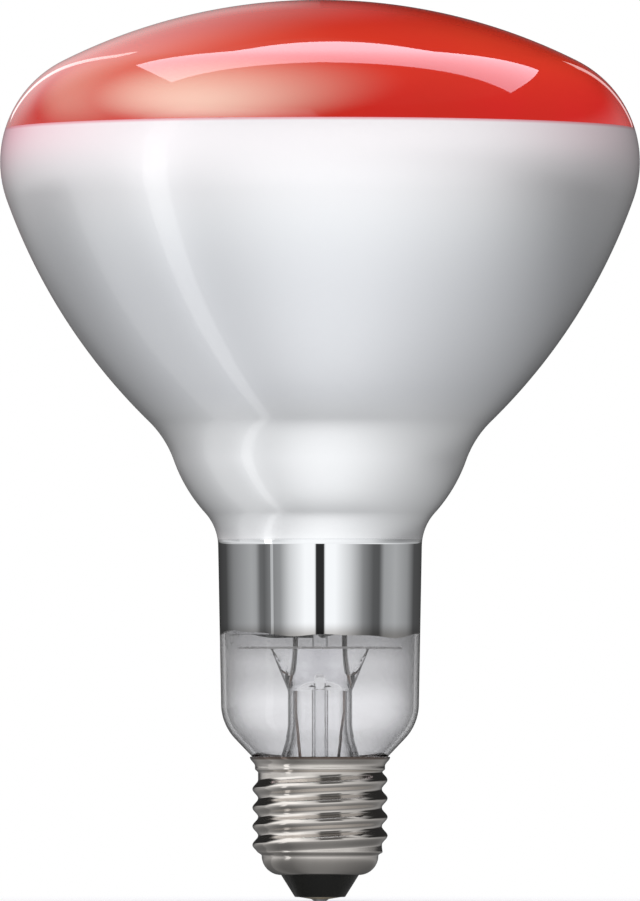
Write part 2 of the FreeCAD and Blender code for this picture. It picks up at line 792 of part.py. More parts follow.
# Heat shield: a thin disc on the pinch, threaded by the leads and the arbor.
shield_top = press_top + size("shield_thickness")
disc = rod("ShieldDisc", size("shield_diameter") / 2, press_top, size("shield_thickness"))
shield_holes = doc.addObject("Part::MultiFuse", "ShieldHoles")
shield_holes.Shapes = [
    rod("ShieldLeft", inner_lead, press_top, size("shield_thickness"), -lead_across),
    rod("ShieldRight", inner_lead, press_top, size("shield_thickness"), lead_across),
    rod("ShieldMiddle", size("arbor_diameter") / 2, press_top, size("shield_thickness")),
]
shield = doc.addObject("Part::Cut", "HeatShield")
shield.Label = "heat_shield"
shield.Base = disc
shield.Tool = shield_holes
pieces.append(shield)

# Arbor: a glass rod standing on the pinch, melted at its top into a button.
button_radius = size("button_diameter") / 2
button_foot = size("button_level") - size("button_height") / 2
button_top = size("button_level") + size("button_height") / 2
turned_body("arbor", [
    (0, press_top),
    (size("arbor_diameter") / 2, press_top),
    (size("arbor_diameter") / 2, button_foot),
    (button_radius, button_foot),
    (button_radius, button_top),
    (0, button_top),
], {3: size("button_height") / 4, 4: size("button_height") / 4})

# Filament supports: fine wires from the button, spread evenly around the back of the ring.
SUPPORTS = 5
for number in range(SUPPORTS):
    support = bent_wire(f"support_{number + 1}", [
        (button_radius, size("button_level")),
        (button_radius + size("support_reach"), size("button_level")),
        (size("ring_radius"), coil_foot - size("support_rise")),
        (size("ring_radius"), coil_foot),
    ], size("support_bend"), size("support_diameter") / 2, upright=False)
    turn = as_size(90) + size("support_step") * (number - (SUPPORTS - 1) / 2)
    stand(support, as_size(0), turn)

# Filament: the coiled wire's envelope, an open ring whose ends rest on the inner leads.
gap = f"asin({lead_across.text} / Sizes.ring_radius)"
filament = doc.addObject("Part::Torus", "Filament")
filament.Label = "filament"
bind(filament, "Radius1", size("ring_radius"))
bind(filament, "Radius2", coil_radius)
filament.setExpression("Angle3", f"360 deg - 2 * {gap}")
filament.Placement.Rotation = FreeCAD.Rotation(FreeCAD.Vector(0, 0, 1), -60)
filament.setExpression(".Placement.Rotation.Angle", f"{gap} - 90 deg")
bind(filament, ".Placement.Base.z", size("ring_height"))
pieces.append(filament)

doc.recompute()
for thing in doc.Objects:
    if "Invalid" in thing.State or "Error" in thing.State:
        raise RuntimeError(f"{thing.Label} did not build")
os.makedirs("parts", exist_ok=True)
for piece in pieces:
    shape = piece.Shape
    if shape.isNull() or not shape.isValid():
        raise RuntimeError(f"{piece.Label} has no valid shape")
    shape.exportStep(f"parts/{piece.Label}.step")
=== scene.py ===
import math

import bpy
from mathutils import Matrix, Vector


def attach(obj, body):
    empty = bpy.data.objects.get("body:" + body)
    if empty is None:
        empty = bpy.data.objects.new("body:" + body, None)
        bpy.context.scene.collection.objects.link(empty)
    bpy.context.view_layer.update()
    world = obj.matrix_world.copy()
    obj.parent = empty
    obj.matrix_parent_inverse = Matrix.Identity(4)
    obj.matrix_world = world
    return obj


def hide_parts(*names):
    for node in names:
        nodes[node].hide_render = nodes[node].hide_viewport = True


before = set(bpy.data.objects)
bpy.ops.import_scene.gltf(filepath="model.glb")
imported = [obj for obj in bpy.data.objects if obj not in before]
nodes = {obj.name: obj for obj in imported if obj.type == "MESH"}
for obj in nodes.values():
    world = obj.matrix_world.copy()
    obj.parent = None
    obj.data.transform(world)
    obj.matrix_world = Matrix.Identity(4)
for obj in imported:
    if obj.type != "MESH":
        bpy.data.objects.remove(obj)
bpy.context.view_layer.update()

# Glass envelope: one piece of glass blown in a mould, from the domed face down to the tail in the cap.
# Red lacquer backs the face. Aluminium backs the bowl, where the glass is frosted, and the upper neck,
# where it is bright. The lower neck is left clear to show the mount.
MM = 0.001
OVERALL_LENGTH = 176.0
BULB_DIAMETER = 125.0
FACE_RADIUS = 112.0
SHOULDER_RADIUS = 22.0
BODY_RADIUS = 114.0
WAIST_DIAMETER = 59.4
WAIST_HEIGHT = 90.2
WAIST_FILLET = 20.0
BELLY_RADIUS = 30.5
NECK_DIAMETER = 39.8
NECK_HEIGHT = 69.4
NECK_FILLET = 9.8
HEEL_DIAMETER = 38.5
HEEL_HEIGHT = 34.5
HEEL_RADIUS = 10.0
MOUTH_RADIUS = 13.25
MOUTH_HEIGHT = 28.2
TAIL_FILLET = 2.5
TAIL_RADIUS = 10.9
TAIL_END = 20.0
GLASS_WALL = 1.0
ENVELOPE_TURNS = 224
OUTER_STEP = 1.15
INNER_STEP = 2.6
ARC_STEPS = 6
ARC_TURN = math.radians(1.6)
SAME_SPOT = 0.02
HARD_EDGE = math.radians(38)
RED_EDGE = 150.8
FROST_EDGE = 70.6
MIRROR_EDGE = 52.0
MIRROR_SWAY = 2.2
SWAY_SKIN = 18.4
EDGE_WAVES = [(0.45, 2, 0.6), (0.3, 5, 1.9), (0.14, 11, 0.0)]
NECK_RINGS = [66.0, 62.0, 58.0, 55.0, 46.0, 42.0]
NECK_TAPER = (NECK_DIAMETER - HEEL_DIAMETER) / 2 / (NECK_HEIGHT - HEEL_HEIGHT)
MIRROR_FADE = [(0.0385, 0.0445, 0.83), (0.0460, 0.0512, 0.66)]


def unit(first, second):
    """The direction from one point to another, with length one."""
    span = math.dist(first, second)
    return (second[0] - first[0]) / span, (second[1] - first[1]) / span


def onward(start, ahead, distance):
    """The point at a distance from the start in the direction ahead."""
    return start[0] + ahead[0] * distance, start[1] + ahead[1] * distance


def meeting(first, first_radius, second, second_radius, side):
    """The point at the two given distances from two centres, on the left (1) or right (-1)."""
    span = math.dist(first, second)
    part = (first_radius ** 2 - second_radius ** 2 + span ** 2) / (2 * span)
    off = math.sqrt(first_radius ** 2 - part ** 2)
    ahead = unit(first, second)
    return onward(onward(first, ahead, part), (-ahead[1], ahead[0]), side * off)


def bend_centre(corner, before, after, radius):
    """The centre of the arc that rounds a corner between two straight runs."""
    back = unit(corner, before)
    on = unit(corner, after)
    half = math.acos(back[0] * on[0] + back[1] * on[1]) / 2
    middle = unit((0, 0), (back[0] + on[0], back[1] + on[1]))
    return onward(corner, middle, radius / math.sin(half))


def envelope_arcs():
    """Centre and radius of each tangent arc from the face to the tail; a hollow arc's radius is minus."""
    face = (0.0, OVERALL_LENGTH - FACE_RADIUS)
    across = BULB_DIAMETER / 2 - SHOULDER_RADIUS
    shoulder = (across, face[1] + math.sqrt((FACE_RADIUS - SHOULDER_RADIUS) ** 2 - across ** 2))
    waist = (WAIST_DIAMETER / 2, WAIST_HEIGHT)
    trunk = meeting(shoulder, BODY_RADIUS - SHOULDER_RADIUS, waist, BODY_RADIUS, -1)
    neck_top = (NECK_DIAMETER / 2, NECK_HEIGHT)
    heel_corner = (HEEL_DIAMETER / 2, HEEL_HEIGHT)
    down = unit(neck_top, heel_corner)
    neck = onward(neck_top, (-down[1], down[0]), NECK_FILLET)
    belly = meeting(neck, NECK_FILLET + BELLY_RADIUS, waist, BELLY_RADIUS, 1)
    hollow = meeting(trunk, BODY_RADIUS + WAIST_FILLET, belly, BELLY_RADIUS + WAIST_FILLET, 1)
    slope = unit(heel_corner, (MOUTH_RADIUS, MOUTH_HEIGHT))
    tail_corner = onward(heel_corner, slope, (TAIL_RADIUS - heel_corner[0]) / slope[0])
    heel = bend_centre(heel_corner, neck_top, tail_corner, HEEL_RADIUS)
    tail = bend_centre(tail_corner, heel_corner, (TAIL_RADIUS, TAIL_END), TAIL_FILLET)
    return [(face, FACE_RADIUS), (shoulder, SHOULDER_RADIUS), (trunk, BODY_RADIUS), (hollow, -WAIST_FILLET),
            (belly, BELLY_RADIUS), (neck, -NECK_FILLET), (heel, HEEL_RADIUS), (tail, -TAIL_FILLET)]


def skin_angle(first, second):
    """The way the skin faces where two arcs touch, or along the straight run between them."""
    (here, here_radius), (there, there_radius) = first, second
    ahead = unit(here, there)
    lean = (here_radius - there_radius) / math.dist(here, there)
    lean = min(max(lean, -1.0), 1.0)
    side = math.sqrt(1 - lean ** 2)
    return math.atan2(ahead[1] * lean + ahead[0] * side, ahead[0] * lean - ahead[1] * side)


def envelope_line(depth, step):
    """The envelope's section at a depth under its skin, as (radius, height) points from face to tail."""
    arcs = envelope_arcs()
    facings = [math.pi / 2]
    for first, second in zip(arcs, arcs[1:]):
        facings.append(skin_angle(first, second))
    facings.append(0.0)
    line = []
    for (centre, radius), start, end in zip(arcs, facings, facings[1:]):
        span = abs(end - start)
        count = max(ARC_STEPS, math.ceil(span * abs(radius) / step), math.ceil(span / ARC_TURN))
        for number in range(count + 1):
            angle = start + (end - start) * number / count
            across, up = onward(centre, (math.cos(angle), math.sin(angle)), radius - depth)
            spot = (max(across, 0.0), up)
            if not line or math.dist(spot, line[-1]) > SAME_SPOT:
                line.append(spot)
    line.append((TAIL_RADIUS - depth, TAIL_END))
    return line


def with_heights(line, heights):
    """The same falling line with a point added at each height."""
    cut = [line[0]]
    for start, end in zip(line, line[1:]):
        inside = [height for height in heights if end[1] + 1e-6 < height < start[1] - 1e-6]
        for height in sorted(inside, reverse=True):
            share = (start[1] - height) / (start[1] - end[1])
            cut.append((start[0] + (end[0] - start[0]) * share, height))
        cut.append(end)
    return cut


def turned(name, line, turns, shape=None):
    """Spins (radius, height) points in millimetres round the axis; shape may move each point as it goes."""
    points, faces, rings = [], [], []
    for radius, height in line:
        if radius < 1e-6:
            rings.append([len(points)] * turns)
            points.append((0, 0, height * MM))
            continue
        rings.append(range(len(points), len(points) + turns))
        for step in range(turns):
            angle = 2 * math.pi * step / turns
            out, up = shape(radius, height, angle) if shape else (radius, height)
            points.append((out * MM * math.cos(angle), out * MM * math.sin(angle), up * MM))
    for upper, lower in zip(rings, rings[1:]):
        for step in range(turns):
            after = (step + 1) % turns
            corners = (upper[step], lower[step], lower[after], upper[after])
            faces.append(list(dict.fromkeys(corners)))
    return solid(name, points, faces)


def solid(name, points, faces):
    """A smooth-shaded piece with its hard edges kept, riding on the lamp."""
    mesh = bpy.data.meshes.new(name)
    mesh.from_pydata(points, [], faces)
    mesh.polygons.foreach_set("use_smooth", [True] * len(mesh.polygons))
    mesh.set_sharp_from_angle(angle=HARD_EDGE)
    piece = bpy.data.objects.new(name, mesh)
    bpy.context.scene.collection.objects.link(piece)
    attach(piece, "root")
    return piece


def new_finish(name, settings):
    """A material whose shader has the plain values given; returns it with its node tree and shader."""
    material = bpy.data.materials.new(name)
    material.use_nodes = True
    tree = material.node_tree
    shader = next(node for node in tree.nodes if node.type == "BSDF_PRINCIPLED")
    for label, value in settings.items():
        shader.inputs[label].default_value = value
    return material, tree, shader


def patchy_film_effect():
    """Soft patches and a fine grain, as films, platings and glass show close up."""
    group = bpy.data.node_groups.new("patchy_film", "ShaderNodeTree")
    for label in ("Patch Scale", "Grain Scale"):
        group.interface.new_socket(label, in_out="INPUT", socket_type="NodeSocketFloat")
    for label in ("Patches", "Grain"):
        group.interface.new_socket(label, in_out="OUTPUT", socket_type="NodeSocketFloat")
    given = group.nodes.new("NodeGroupInput")
    result = group.nodes.new("NodeGroupOutput")
    place = group.nodes.new("ShaderNodeTexCoord")
    for label, scale, detail in (("Patches", "Patch Scale", 3.0), ("Grain", "Grain Scale", 2.0)):
        noise = group.nodes.new("ShaderNodeTexNoise")
        noise.inputs["Detail"].default_value = detail
        group.links.new(place.outputs["Object"], noise.inputs["Vector"])
        group.links.new(given.outputs[scale], noise.inputs["Scale"])
        even = group.nodes.new("ShaderNodeMapRange")
        even.inputs["From Min"].default_value = 0.3
        even.inputs["From Max"].default_value = 0.7
        group.links.new(noise.outputs["Fac"], even.inputs["Value"])
        group.links.new(even.outputs["Result"], result.inputs[label])
    return group


patchy_film = patchy_film_effect()


def add_effect(tree, group, values):
    """Places a shared effect in a material, with the values given."""
    effect = tree.nodes.new("ShaderNodeGroup")
    effect.node_tree = group
    for label, value in values.items():
        effect.inputs[label].default_value = value
    return effect


def two_tone(tree, mask, first, second):
    """A colour that goes from the first to the second along a mask; either may be a socket."""
    mix = tree.nodes.new("ShaderNodeMix")
    mix.data_type = "RGBA"
    tree.links.new(mask, mix.inputs[0])
    for socket, colour in ((mix.inputs[6], first), (mix.inputs[7], second)):
        if isinstance(colour, tuple):
            socket.default_value = (*colour, 1.0)
        else:
            tree.links.new(colour, socket)
    return mix.outputs[2]


def spread(tree, value, low, high, start=0.0, end=1.0):
    """Stretches a value that runs from start to end so that it runs from low to high."""
    stretch = tree.nodes.new("ShaderNodeMapRange")
    stretch.interpolation_type = "SMOOTHSTEP"
    for label, number in (("From Min", start), ("From Max", end), ("To Min", low), ("To Max", high)):
        stretch.inputs[label].default_value = number
    tree.links.new(value, stretch.inputs["Value"])
    return stretch.outputs["Result"]


def height_on_axis(tree):
    """Height above the contact, in metres."""
    place = tree.nodes.new("ShaderNodeTexCoord")
    split = tree.nodes.new("ShaderNodeSeparateXYZ")
    tree.links.new(place.outputs["Object"], split.inputs["Vector"])
    return split.outputs["Z"]


def add_bump(tree, shader, height, strength, distance):
    """Lets a pattern of heights tilt the shading."""
    bump = tree.nodes.new("ShaderNodeBump")
    bump.inputs["Strength"].default_value = strength
    bump.inputs["Distance"].default_value = distance
    tree.links.new(height, bump.inputs["Height"])
    tree.links.new(bump.outputs["Normal"], shader.inputs["Normal"])


GLASS_GRAIN = 900.0
SMEAR_TONE = 0.97
RIM_ENDS = (0.66, 0.88)
RIM_SHADE = 0.1
SHADE_UNDER_GLASS = (0.9, 0.9, 0.91, 1.0)


def clear_glass_finish(name, tint, patch_scale, edge_shade, edge_start, edge_end, thin_film=()):
    """Clear glass with faint smears and painted shade towards its outline; light for the pieces inside goes
    straight through it.
    """
    material, tree, shader = new_finish(name, {
        "Transmission Weight": 1.0, "IOR": 1.5, "Metallic": 0.0,
    })
    film = add_effect(tree, patchy_film, {"Patch Scale": patch_scale, "Grain Scale": GLASS_GRAIN})
    hazy = tuple(part * SMEAR_TONE for part in tint)
    clean = two_tone(tree, film.outputs["Patches"], tint, hazy)
    for low, high, shade in thin_film:
        reach = spread(tree, height_on_axis(tree), 0.0, 1.0, low, high)
        clean = two_tone(tree, reach, clean, tuple(part * shade for part in tint))
    # Painted shade: the glass darkens as it turns edge-on to the view, deepest in a thin rim at its outline.
    edge_on = tree.nodes.new("ShaderNodeLayerWeight")
    edge_on.inputs["Blend"].default_value = 0.5
    dark = spread(tree, edge_on.outputs["Facing"], 0.0, 1.0, edge_start, edge_end)
    shaded = two_tone(tree, dark, clean, tuple(part * edge_shade for part in tint))
    rim = spread(tree, edge_on.outputs["Facing"], 0.0, 1.0, *RIM_ENDS)
    rimmed = two_tone(tree, rim, shaded, tuple(part * edge_shade * RIM_SHADE for part in tint))
    tree.links.new(rimmed, shader.inputs["Base Color"])
    tree.links.new(spread(tree, film.outputs["Grain"], 0.0, 0.03), shader.inputs["Roughness"])
    path = tree.nodes.new("ShaderNodeLightPath")
    clear = tree.nodes.new("ShaderNodeBsdfTransparent")
    clear.inputs["Color"].default_value = SHADE_UNDER_GLASS
    either = tree.nodes.new("ShaderNodeMixShader")
    out = next(node for node in tree.nodes if node.type == "OUTPUT_MATERIAL")
    tree.links.new(path.outputs["Is Shadow Ray"], either.inputs["Fac"])
    tree.links.new(shader.outputs["BSDF"], either.inputs[1])
    tree.links.new(clear.outputs["BSDF"], either.inputs[2])
    tree.links.new(either.outputs["Shader"], out.inputs["Surface"])
    return material


RED_FOOT = (0.69, 0.022, 0.022)
RED_SIDE_PAINTED_GLOW = (0.675, 0.046, 0.019)
RED_TOP_PAINTED_SHADE = (0.45, 0.036, 0.015)
RED_PATCHES = (0.61, 0.032, 0.018)
RED_SIDE_HEIGHT = 0.166
RED_TOP_START = 0.164


def red_face_finish():
    """Red lacquer under the glossy skin of the glass; painted glow makes it brighter and oranger low on the
    face, and painted shade darker to the top.
    """
    material, tree, shader = new_finish("red_face", {
        "Roughness": 0.34, "Specular IOR Level": 0.0,
        "Coat Weight": 1.0, "Coat Roughness": 0.0, "Coat IOR": 1.5,
    })
    height = height_on_axis(tree)
    film = add_effect(tree, patchy_film, {"Patch Scale": 28.0, "Grain Scale": 500.0})
    # Painted light: the lacquer's red is lifted to orange low on the face and darkened towards the top, for
    # light glowing through it.
    rising = spread(tree, height, 0.0, 1.0, RED_EDGE * MM, RED_SIDE_HEIGHT)
    top = spread(tree, height, 0.0, 1.0, RED_TOP_START, OVERALL_LENGTH * MM)
    lower = two_tone(tree, rising, RED_FOOT, RED_SIDE_PAINTED_GLOW)
    upper = two_tone(tree, top, lower, RED_TOP_PAINTED_SHADE)
    uneven = two_tone(tree, film.outputs["Patches"], upper, RED_PATCHES)
    tree.links.new(uneven, shader.inputs["Base Color"])
    add_bump(tree, shader, film.outputs["Grain"], 0.04, 0.0002)
    return material


SILVER = (0.965, 0.98, 1.0)
SILVER_PATCHES = (0.945, 0.962, 0.985)
SILVER_PAINTED_SHADE = (0.81, 0.83, 0.868)
SILVER_PAINTED_RED_GLOW = (0.89, 0.86, 0.885)
RED_FRINGE = (0.80, 0.36, 0.42)
BOWL_FOOT = (0.090, 0.100)
BOWL_TOP = (0.116, 0.145)
RED_GLOW_START = 0.128
FRINGE_START = 0.1501


def frosted_silver_finish():
    """Aluminium under frosted glass, with a red fringe below the face, a band of painted shade across the
    bowl and a painted pink glow from the red face above it.
    """
    material, tree, shader = new_finish("frosted_silver", {
        "Metallic": 1.0, "Coat Weight": 1.0, "Coat Roughness": 0.04, "Coat IOR": 1.6,
    })
    height = height_on_axis(tree)
    film = add_effect(tree, patchy_film, {"Patch Scale": 22.0, "Grain Scale": 1400.0})
    plain = two_tone(tree, film.outputs["Patches"], SILVER, SILVER_PATCHES)
    # Painted shade: a darker band across the bowl, fullest between 100 and 116 mm up and fading out by 90
    # and 145 mm.
    bowl = spread(tree, height, 1.0, 0.0, *BOWL_TOP)
    darker_band = two_tone(tree, spread(tree, height, 0.0, 1.0, *BOWL_FOOT), plain, SILVER_PAINTED_SHADE)
    even = two_tone(tree, bowl, plain, darker_band)
    # Painted glow: the silver turns pink from 128 mm up to the red edge, as if lit by the red face.
    painted_red_glow = spread(tree, height, 0.0, 1.0, RED_GLOW_START, RED_EDGE * MM)
    rosy = two_tone(tree, painted_red_glow, even, SILVER_PAINTED_RED_GLOW)
    edge = spread(tree, height, 0.0, 1.0, FRINGE_START, RED_EDGE * MM)
    tree.links.new(two_tone(tree, edge, rosy, RED_FRINGE), shader.inputs["Base Color"])
    tree.links.new(spread(tree, film.outputs["Grain"], 0.36, 0.40), shader.inputs["Roughness"])
    add_bump(tree, shader, film.outputs["Grain"], 0.01, 0.0002)
    return material


MIRROR = (0.835, 0.855, 0.875)
MIRROR_PATCHES = (0.80, 0.82, 0.84)
MIRROR_THIN = (0.42, 0.41, 0.40)
THIN_ENDS = (0.0515, 0.0545)
HAZE_START = 0.0700


def bright_mirror_finish():
    """Aluminium under clear glass, thinner at its lower edge."""
    material, tree, shader = new_finish("bright_mirror", {
        "Metallic": 1.0, "Coat Weight": 1.0, "Coat Roughness": 0.0, "Coat IOR": 1.5,
    })
    film = add_effect(tree, patchy_film, {"Patch Scale": 60.0, "Grain Scale": 700.0})
    height = height_on_axis(tree)
    plain = two_tone(tree, film.outputs["Patches"], MIRROR, MIRROR_PATCHES)
    darker_band = spread(tree, height, 1.0, 0.0, *THIN_ENDS)
    tree.links.new(two_tone(tree, darker_band, plain, MIRROR_THIN), shader.inputs["Base Color"])
    haze = spread(tree, height, 0.0, 0.3, HAZE_START, FROST_EDGE * MM)
    tree.links.new(haze, shader.inputs["Roughness"])
    return material


def sway_of_mirror_edge(radius, height, angle):
    """The aluminium ends in a wavy line round the neck; each wave has a size, a count and a start."""
    near = max(0.0, 1.0 - abs(height - MIRROR_EDGE) / MIRROR_SWAY) if radius > SWAY_SKIN else 0.0
    wave = sum(size * math.sin(count * angle + start) for size, count, start in EDGE_WAVES)
    return radius + wave * near * NECK_TAPER, height + wave * near


sway_rings = [MIRROR_EDGE + MIRROR_SWAY * share for share in (1, 0.5, 0, -0.5, -1)]
outer = with_heights(envelope_line(0.0, OUTER_STEP), [RED_EDGE, FROST_EDGE, *NECK_RINGS, *sway_rings])
inner = envelope_line(GLASS_WALL, INNER_STEP)
bulb = turned("bulb_envelope", outer + inner[::-1], ENVELOPE_TURNS, sway_of_mirror_edge)
# The clear neck's glass is darkened by painted shade towards its outline.
clear_neck = clear_glass_finish("clear_bulb_glass", (0.88, 0.88, 0.895), patch_scale=45.0, edge_shade=0.2,
                                edge_start=0.13, edge_end=0.88, thin_film=MIRROR_FADE)
for finish in (clear_neck, red_face_finish(), frosted_silver_finish(), bright_mirror_finish()):
    bulb.data.materials.append(finish)
zones = []
for upper, lower in zip(outer, outer[1:]):
    middle = (upper[1] + lower[1]) / 2
    zone = 1 if middle > RED_EDGE else 2 if middle > FROST_EDGE else 3 if middle > MIRROR_EDGE else 0
    zones.extend([zone] * ENVELOPE_TURNS)
zones.extend([0] * (len(bulb.data.polygons) - len(zones)))
bulb.data.polygons.foreach_set("material_index", zones)
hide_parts("glass_bulb")

# Films inside the envelope: aluminium vapour on the bowl and upper neck, red lacquer over the face.
# Both are bonded to the glass, so from outside they only show through it, and their backs face the filament.


def dress(names, material):
    """Gives CAD pieces a material in place of the one they came with."""
    for name in names:
        slots = nodes[name].data.materials
        slots.clear()
        slots.append(material)


film_back, tree, shader = new_finish("aluminium_film_back", {"Metallic": 1.0})
film = add_effect(tree, patchy_film, {"Patch Scale": 35.0, "Grain Scale": 900.0})
backing = two_tone(tree, film.outputs["Patches"], (0.86, 0.86, 0.87), (0.8, 0.8, 0.81))
tree.links.new(backing, shader.inputs["Base Color"])
tree.links.new(spread(tree, film.outputs["Grain"], 0.1, 0.18), shader.inputs["Roughness"])
dress(["mirror_coat"], film_back)

lacquer_back, tree, shader = new_finish("red_lacquer_back", {"Coat Weight": 0.4})
film = add_effect(tree, patchy_film, {"Patch Scale": 35.0, "Grain Scale": 600.0})
lacquer = two_tone(tree, film.outputs["Patches"], (0.5, 0.02, 0.015), (0.42, 0.016, 0.012))
tree.links.new(lacquer, shader.inputs["Base Color"])
tree.links.new(spread(tree, film.outputs["Grain"], 0.3, 0.45), shader.inputs["Roughness"])
dress(["red_filter_coat"], lacquer_back)

# Stem, exhaust tube and arbor: drawn glass tube and rod, melted together in one flame.
# The stem's foot is fused to the tail, and its top is pinched flat round the leads. The arbor stands on
# the pinch.
# The stem's glass goes black towards its outline in painted shade.
stem_glass = clear_glass_finish("stem_glass", (0.995, 0.996, 1.0), patch_scale=120.0, edge_shade=0.0,
                                edge_start=0.18, edge_end=0.66)
dress(["stem", "exhaust_tube", "arbor"], stem_glass)

# Leads: copper below the pinch, one soldered to the centre contact and one to the shell, and
# stiff nickel above it, which carries the ends of the filament.


def drawn_lines_effect():
    """Fine lines left by a die or a roll, along the axis or round it."""
    group = bpy.data.node_groups.new("drawn_lines", "ShaderNodeTree")
    for label in ("Along", "Across"):
        group.interface.new_socket(label, in_out="INPUT", socket_type="NodeSocketFloat")
    group.interface.new_socket("Lines", in_out="OUTPUT", socket_type="NodeSocketFloat")
    given = group.nodes.new("NodeGroupInput")
    result = group.nodes.new("NodeGroupOutput")
    place = group.nodes.new("ShaderNodeTexCoord")
    squeeze = group.nodes.new("ShaderNodeCombineXYZ")
    group.links.new(given.outputs["Across"], squeeze.inputs["X"])
    group.links.new(given.outputs["Across"], squeeze.inputs["Y"])
    group.links.new(given.outputs["Along"], squeeze.inputs["Z"])
    stretched = group.nodes.new("ShaderNodeVectorMath")
    stretched.operation = "MULTIPLY"
    group.links.new(place.outputs["Object"], stretched.inputs[0])
    group.links.new(squeeze.outputs["Vector"], stretched.inputs[1])
    noise = group.nodes.new("ShaderNodeTexNoise")
    noise.inputs["Scale"].default_value = 1.0
    noise.inputs["Detail"].default_value = 3.0
    group.links.new(stretched.outputs["Vector"], noise.inputs["Vector"])
    even = group.nodes.new("ShaderNodeMapRange")
    even.inputs["From Min"].default_value = 0.32
    even.inputs["From Max"].default_value = 0.68
    group.links.new(noise.outputs["Fac"], even.inputs["Value"])
    group.links.new(even.outputs["Result"], result.inputs["Lines"])
    return group


drawn_lines = drawn_lines_effect()


def drawn_metal_finish(name, light, dark, smooth, rough, along, across):
    """Metal with the fine lines that drawing or rolling leaves."""
    material, tree, shader = new_finish(name, {"Metallic": 1.0})
    lines = add_effect(tree, drawn_lines, {"Along": along, "Across": across})
    tree.links.new(two_tone(tree, lines.outputs["Lines"], light, dark), shader.inputs["Base Color"])
    tree.links.new(spread(tree, lines.outputs["Lines"], smooth, rough), shader.inputs["Roughness"])
    add_bump(tree, shader, lines.outputs["Lines"], 0.15, 0.00005)
    return material


dress(["outer_lead_centre", "outer_lead_side"],
      drawn_metal_finish("copper_lead", (0.28, 0.19, 0.15), (0.18, 0.125, 0.10),
                         smooth=0.25, rough=0.42, along=150.0, across=4000.0))
dress(["inner_lead_left", "inner_lead_right"],
      drawn_metal_finish("nickel_lead", (0.30, 0.29, 0.275), (0.19, 0.185, 0.175),
                         smooth=0.22, rough=0.38, along=120.0, across=3500.0))

# Heat shield: a disc blanked from thin rolled aluminium sheet, dropped over the leads on to the pinch.
# It keeps the filament's heat out of the cap.
dress(["heat_shield"],
      drawn_metal_finish("shield_sheet", (0.68, 0.67, 0.66), (0.55, 0.54, 0.53),
                         smooth=0.25, rough=0.4, along=60.0, across=900.0))

# Filament supports and filament: fine tungsten wire. The supports are stuck into the arbor's button while
# it is soft; the filament is wound into a close coil and hung on them in an open ring.
dress([f"support_{number}" for number in range(1, 6)],
      drawn_metal_finish("support_wire", (0.42, 0.41, 0.41), (0.3, 0.295, 0.3),
                         smooth=0.28, rough=0.45, along=200.0, across=6000.0))
RING_RADIUS = 13.0
RING_HEIGHT = 82.0
COIL_DIAMETER = 1.2
COIL_WIRE = 0.24
COIL_TURNS = 138
COIL_STEPS = 12
WIRE_SIDES = 6
LEAD_ACROSS = 4.8


def tube(name, path, radius, sides):
    """A round wire along a path of points in millimetres, closed at both ends."""
    points, faces = [], []
    side = None
    for index, spot in enumerate(path):
        ahead = (path[min(index + 1, len(path) - 1)] - path[max(index - 1, 0)]).normalized()
        if side is None:
            side = ahead.orthogonal().normalized()
        side = (side - ahead * side.dot(ahead)).normalized()
        across = ahead.cross(side)
        for number in range(sides):
            angle = 2 * math.pi * number / sides
            points.append((spot + (side * math.cos(angle) + across * math.sin(angle)) * radius) * MM)
    for index in range(len(path) - 1):
        for number in range(sides):
            here = index * sides + number
            beside = index * sides + (number + 1) % sides
            faces.append((here, beside, beside + sides, here + sides))
    faces.append(tuple(reversed(range(sides))))
    faces.append(tuple(range(len(points) - sides, len(points))))
    return solid(name, points, faces)


half_gap = math.asin(LEAD_ACROSS / RING_RADIUS)
coil_radius = (COIL_DIAMETER - COIL_WIRE) / 2
coil = []
for step in range(COIL_TURNS * COIL_STEPS + 1):
    share = step / (COIL_TURNS * COIL_STEPS)
    angle = half_gap - math.pi / 2 + (2 * math.pi - 2 * half_gap) * share
    winding = 2 * math.pi * COIL_TURNS * share
    out = RING_RADIUS + coil_radius * math.cos(winding)
    up = RING_HEIGHT + coil_radius * math.sin(winding)
    coil.append(Vector((out * math.cos(angle), out * math.sin(angle), up)))
filament = tube("filament_coil", coil, COIL_WIRE / 2, WIRE_SIDES)
filament.data.materials.append(
    drawn_metal_finish("filament_wire", (0.34, 0.335, 0.34), (0.24, 0.235, 0.24),
                       smooth=0.3, rough=0.45, along=300.0, across=300.0))
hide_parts("filament")

# Screw shell: thin brass sheet drawn to a cup, nickel plated, with the knuckle thread rolled into its wall.
# The thread runs out into the nose below and the plain collar above, and the rim is flared over the glass.
SHELL_TURNS = 256
SHELL_SHEET = 0.3
SHELL_ROOT = 12.1
SHELL_BORE = 11.8
THREAD_DEPTH = 1.1
THREAD_PITCH = 3.629
CREST_AT_RIGHT = 9.17
THREAD_IN = (-0.12, 0.42)
THREAD_OUT = (3.95, 4.5)
NOSE_RADIUS = 11.4
NOSE_BEND = 3.8
SHELL_FOOT = 5.1
HOLE_RADIUS = 6.7
COLLAR_RADIUS = 12.7
RIM_RADIUS = 13.7
CAP_HEIGHT = 28.2
RIM_LIP = 0.16
RIM_DROP = 0.12
FLARE_HEIGHT = 1.7
COLLAR_TOP = 26.2
COLLAR_FOOT = 25.8
INNER_COLLAR = (25.7, 26.4)
WALL_TOP = 25.1
WALL_FOOT = 9.6
WALL_ROWS = 124
THREAD_FADE_TOP = 25.0
THREAD_FADE_FOOT = 8.6
PLAIN_UNDER = 0.5
FULL_UNDER = 0.08
HOLE_LIP = 0.1
BEND_STEPS = 6
FLARE_STEPS = 8
NOSE_STEPS = 18
INNER_NOSE_STEPS = 12


def ease(value, low, high):
    """Goes smoothly from nought at low to one at high."""
    share = min(max((value - low) / (high - low), 0.0), 1.0)
    return share * share * (3 - 2 * share)


